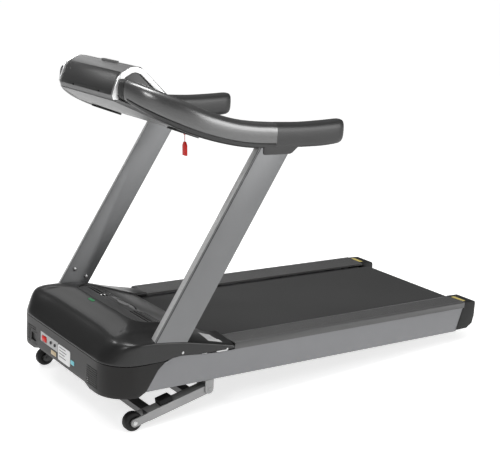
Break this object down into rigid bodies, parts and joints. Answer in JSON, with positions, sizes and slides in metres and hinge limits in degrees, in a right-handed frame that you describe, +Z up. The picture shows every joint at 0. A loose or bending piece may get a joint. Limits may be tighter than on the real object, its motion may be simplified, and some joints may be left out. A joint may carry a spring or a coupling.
{
  "type": "treadmill",
  "caption": "Motorised treadmill with a powered incline frame on wheels, leaning uprights, sweeping handrails and a console.",
  "frame": {"origin": "on the floor under the middle of the machine, at the middle of its footprint", "axes": "+Z up, +Y from the motor hood towards the rear end of the running belt, +X towards the runner's left when facing the console"},
  "size_m": [0.905, 2.0012, 1.4199],
  "materials": {
    "frame_steel": "satin black powder coat",
    "silver_panel": "satin anodised",
    "board_wood": "phenolic coated board",
    "rubber": "matt",
    "belt": "fine embossed PVC",
    "rail_plastic": "ribbed, matt",
    "black_plastic": "fine texture",
    "hood_paint": "metallic dark grey",
    "hood_lower_plastic": "fine texture",
    "vent_plastic": "fine texture",
    "roller_steel": "turned",
    "zinc": "zinc plated",
    "motor_paint": "semi gloss",
    "cast": "machined",
    "board_green": "circuit board",
    "power_plate_grey": "satin",
    "red_plastic": "gloss",
    "green_plastic": "gloss",
    "lift_silver": "silver powder coat",
    "upright_silver": "satin",
    "handrail_grey": "satin moulded",
    "grip_grey": "soft touch",
    "console_grey": "satin",
    "console_dark": "fine texture",
    "chrome_trim": "satin chrome",
    "screen_glass": "gloss black",
    "key_grey": "soft",
    "wheel_black": "moulded",
    "cord_red": "braided"
  },
  "bodies": {
    "root": {"frame_rail_left": "frame_steel", "frame_rail_right": "frame_steel", "middle_crossmember": "frame_steel", "rear_crossmember": "frame_steel", "motor_tray": "frame_steel", "side_panel_left": "silver_panel", "side_panel_right": "silver_panel", "deck_board": "board_wood", "deck_cushions": "rubber", "running_belt": "belt", "foot_rail_left": "rail_plastic", "foot_rail_right": "rail_plastic", "end_cap_left": "black_plastic", "end_cap_right": "black_plastic", "roller_axles": "zinc", "drive_motor": "motor_paint", "drive_belt": "rubber", "motor_controller": "board_green", "hood_top": "hood_paint", "hood_lower": "hood_lower_plastic", "vent_panel": "vent_plastic", "power_plate": "power_plate_grey", "power_inlet": "black_plastic", "lift_brackets": "lift_silver", "lift_motor": "motor_paint", "foot_studs": "zinc", "upright_left": "upright_silver", "upright_right": "upright_silver", "upright_bolts": "zinc", "handrail_left": "handrail_grey", "handrail_right": "handrail_grey", "grip_left": "grip_grey", "grip_right": "grip_grey", "console_housing": "console_grey", "console_back_panel": "console_dark", "console_arches": "chrome_trim", "console_tray": "console_grey", "console_face": "console_dark", "display_screen": "screen_glass", "cup_holders": "black_plastic"},
    "lift_frame": {"lift_frame": "lift_silver", "lift_bump_stops": "rubber"},
    "wheel_left": {"wheel_left": "wheel_black"},
    "wheel_right": {"wheel_right": "wheel_black"},
    "front_roller": {"front_roller": "roller_steel"},
    "rear_roller": {"rear_roller": "roller_steel"},
    "motor_rotor": {"motor_rotor": "cast"},
    "lift_screw": {"lift_screw": "zinc"},
    "rear_foot_left": {"rear_foot_left": "rubber"},
    "rear_foot_right": {"rear_foot_right": "rubber"},
    "power_switch": {"power_switch": "red_plastic"},
    "breaker_button_1": {"breaker_button_1": "black_plastic"},
    "breaker_button_2": {"breaker_button_2": "black_plastic"},
    "stop_button": {"stop_button": "red_plastic"},
    "start_key": {"start_key": "green_plastic"},
    "speed_rocker": {"speed_rocker": "key_grey"},
    "incline_rocker": {"incline_rocker": "key_grey"},
    "safety_key": {"safety_key": "red_plastic"},
    "safety_tag": {"safety_tag": "red_plastic", "safety_cord": "cord_red"}
  },
  "joints": [
    {"name": "lift_hinge", "type": "hinge", "parent": "root", "child": "lift_frame", "pos_m": [0, -0.54066, 0.1019], "axis": [1, 0, 0], "range_deg": [-12.5, 29]},
    {"name": "wheel_left_spin", "type": "hinge", "parent": "lift_frame", "child": "wheel_left", "pos_m": [0, -0.88497, 0.03908], "axis": [1, 0, 0], "continuous": true},
    {"name": "wheel_right_spin", "type": "hinge", "parent": "lift_frame", "child": "wheel_right", "pos_m": [0, -0.88497, 0.03908], "axis": [1, 0, 0], "continuous": true},
    {"name": "front_roller_spin", "type": "hinge", "parent": "root", "child": "front_roller", "pos_m": [0, -0.55117, 0.23892], "axis": [1, 0, 0], "continuous": true},
    {"name": "rear_roller_spin", "type": "hinge", "parent": "root", "child": "rear_roller", "pos_m": [0, 0.93396, 0.14653], "axis": [1, 0, 0], "continuous": true},
    {"name": "motor_spin", "type": "hinge", "parent": "root", "child": "motor_rotor", "pos_m": [0, -0.78123, 0.24512], "axis": [1, 0, 0], "continuous": true},
    {"name": "lift_screw_slide", "type": "slide", "parent": "root", "child": "lift_screw", "axis": [0, 0.9981, -0.0621], "range_m": [-0.0415, 0.018]},
    {"name": "rear_foot_left_swivel", "type": "hinge", "parent": "root", "child": "rear_foot_left", "pos_m": [0.235, 0.8484, 0.02751], "axis": [1, 0, 0], "range_deg": [-8, 8]},
    {"name": "rear_foot_right_swivel", "type": "hinge", "parent": "root", "child": "rear_foot_right", "pos_m": [-0.235, 0.8484, 0.02751], "axis": [1, 0, 0], "range_deg": [-8, 8]},
    {"name": "power_switch_rock", "type": "hinge", "parent": "root", "child": "power_switch", "pos_m": [-0.156, -0.98383, 0.22566], "axis": [1, 0, 0], "range_deg": [-8, 8]},
    {"name": "breaker_button_1_pop", "type": "slide", "parent": "root", "child": "breaker_button_1", "axis": [0, -0.9981, 0.0621], "range_m": [0, 0.004]},
    {"name": "breaker_button_2_pop", "type": "slide", "parent": "root", "child": "breaker_button_2", "axis": [0, -0.9981, 0.0621], "range_m": [0, 0.004]},
    {"name": "stop_button_press", "type": "slide", "parent": "root", "child": "stop_button", "axis": [0, -0.7028, -0.7114], "range_m": [0, 0.003], "stiffness_N_per_m": 800, "springref_m": -0.0005},
    {"name": "start_key_press", "type": "slide", "parent": "root", "child": "start_key", "axis": [0, -0.7028, -0.7114], "range_m": [0, 0.0015], "stiffness_N_per_m": 800, "springref_m": -0.0005},
    {"name": "speed_rocker_tilt", "type": "hinge", "parent": "root", "child": "speed_rocker", "pos_m": [0.13, -0.59492, 1.286], "axis": [1, 0, 0], "range_deg": [-4, 4], "stiffness_Nm_per_rad": 0.3},
    {"name": "incline_rocker_tilt", "type": "hinge", "parent": "root", "child": "incline_rocker", "pos_m": [-0.13, -0.59492, 1.286], "axis": [1, 0, 0], "range_deg": [-4, 4], "stiffness_Nm_per_rad": 0.3},
    {"name": "safety_key_pull", "type": "slide", "parent": "root", "child": "safety_key", "axis": [0, 0, -1], "range_m": [0, 0.025]},
    {"name": "safety_tag_swing", "type": "hinge", "parent": "safety_key", "child": "safety_tag", "pos_m": [0.262, -0.541, 1.134], "axis": [1, 0, 0], "range_deg": [-35, 35]}
  ],
  "couplings": [
    {"joint": "rear_roller_spin", "follows": "front_roller_spin", "ratio": 1},
    {"joint": "motor_spin", "follows": "front_roller_spin", "ratio": 2.1},
    {"joint": "lift_screw_slide", "follows": "lift_hinge", "m_per_rad": -0.0782}
  ]
}
